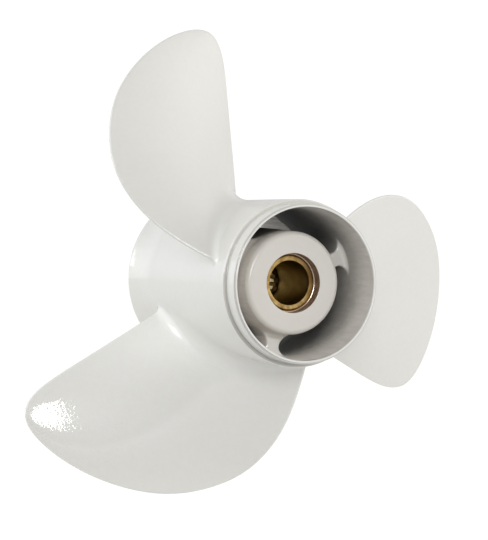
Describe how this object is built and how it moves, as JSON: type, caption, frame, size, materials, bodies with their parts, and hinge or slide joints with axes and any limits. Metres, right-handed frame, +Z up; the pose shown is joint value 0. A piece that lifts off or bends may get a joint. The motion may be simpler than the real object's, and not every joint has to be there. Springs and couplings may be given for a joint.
{
  "type": "outboard boat propeller",
  "caption": "Right-hand through-hub boat propeller with wide raked blades on a flared exhaust barrel, driven by a splined brass sleeve in a rubber cushion.",
  "frame": {"origin": "on the shaft axis, in the plane of the splined sleeve's front face, which seats on the thrust washer of the propeller shaft", "axes": "+Y along the shaft axis, pointing aft (away from the gearcase), +Z up, +X to the right when the propeller is seen from the front; the blade nearest the top has its tip about 7 degrees left of straight up"},
  "size_m": [0.3064, 0.1492, 0.312],
  "materials": {
    "painted_casting": "gloss off-white enamel over cast aluminium",
    "cushion_rubber": "matte black moulded rubber",
    "sleeve_brass": "turned brass, lightly tarnished"
  },
  "bodies": {
    "drive_sleeve": {"spline_sleeve": "sleeve_brass"},
    "cushion": {"rubber_cushion": "cushion_rubber"},
    "propeller": {"propeller_casting": "painted_casting"}
  },
  "joints": [
    {"name": "cushion_windup", "type": "hinge", "parent": "drive_sleeve", "child": "cushion", "pos_m": [0, 0.035, 0], "axis": [0, 1, 0], "range_deg": [-12, 12]},
    {"name": "hub_slip", "type": "hinge", "parent": "cushion", "child": "propeller", "pos_m": [0, 0.035, 0], "axis": [0, 1, 0], "continuous": true}
  ]
}
